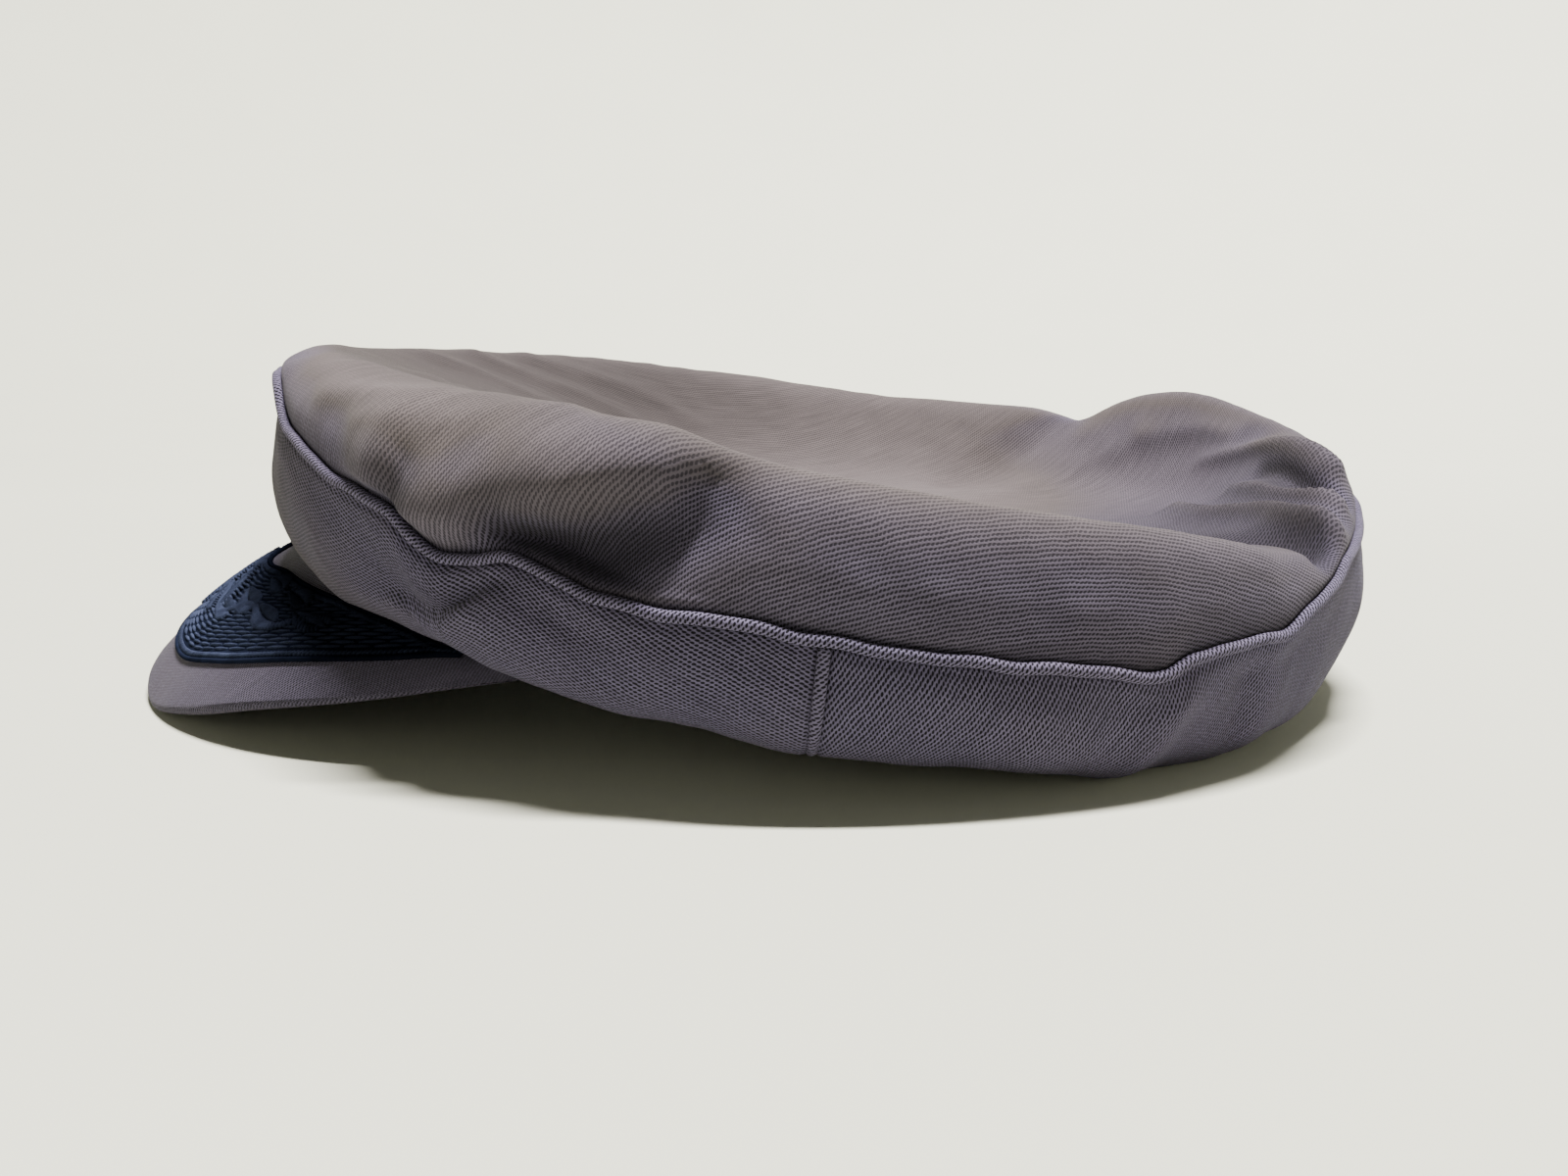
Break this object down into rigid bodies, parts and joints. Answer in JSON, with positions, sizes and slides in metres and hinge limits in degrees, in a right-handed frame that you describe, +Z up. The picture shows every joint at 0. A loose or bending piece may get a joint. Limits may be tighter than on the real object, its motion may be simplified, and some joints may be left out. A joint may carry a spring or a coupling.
{
  "type": "fisherman cap",
  "caption": "Soft fisherman cap in faded cotton twill, its oval crown slumped and dished over a head band, with corded seams and a stiff curved peak bearing a dark embroidered trim",
  "frame": {"origin": "on the table under the middle of the cap's outline", "axes": "the peak points along -Y, the wearer's left is +X, up is +Z"},
  "size_m": [0.2422, 0.3092, 0.0841],
  "materials": {
    "twill": "faded matte twill",
    "embroidery": "matte corded embroidery",
    "cord": "twisted cord"
  },
  "bodies": {
    "root": {"crown_top": "twill", "side_front": "twill", "side_rear": "twill", "crown_welt": "twill", "side_welt_left": "twill", "side_welt_right": "twill", "band": "twill", "peak": "twill", "peak_trim": "embroidery", "chin_cord": "cord"}
  },
  "joints": []
}
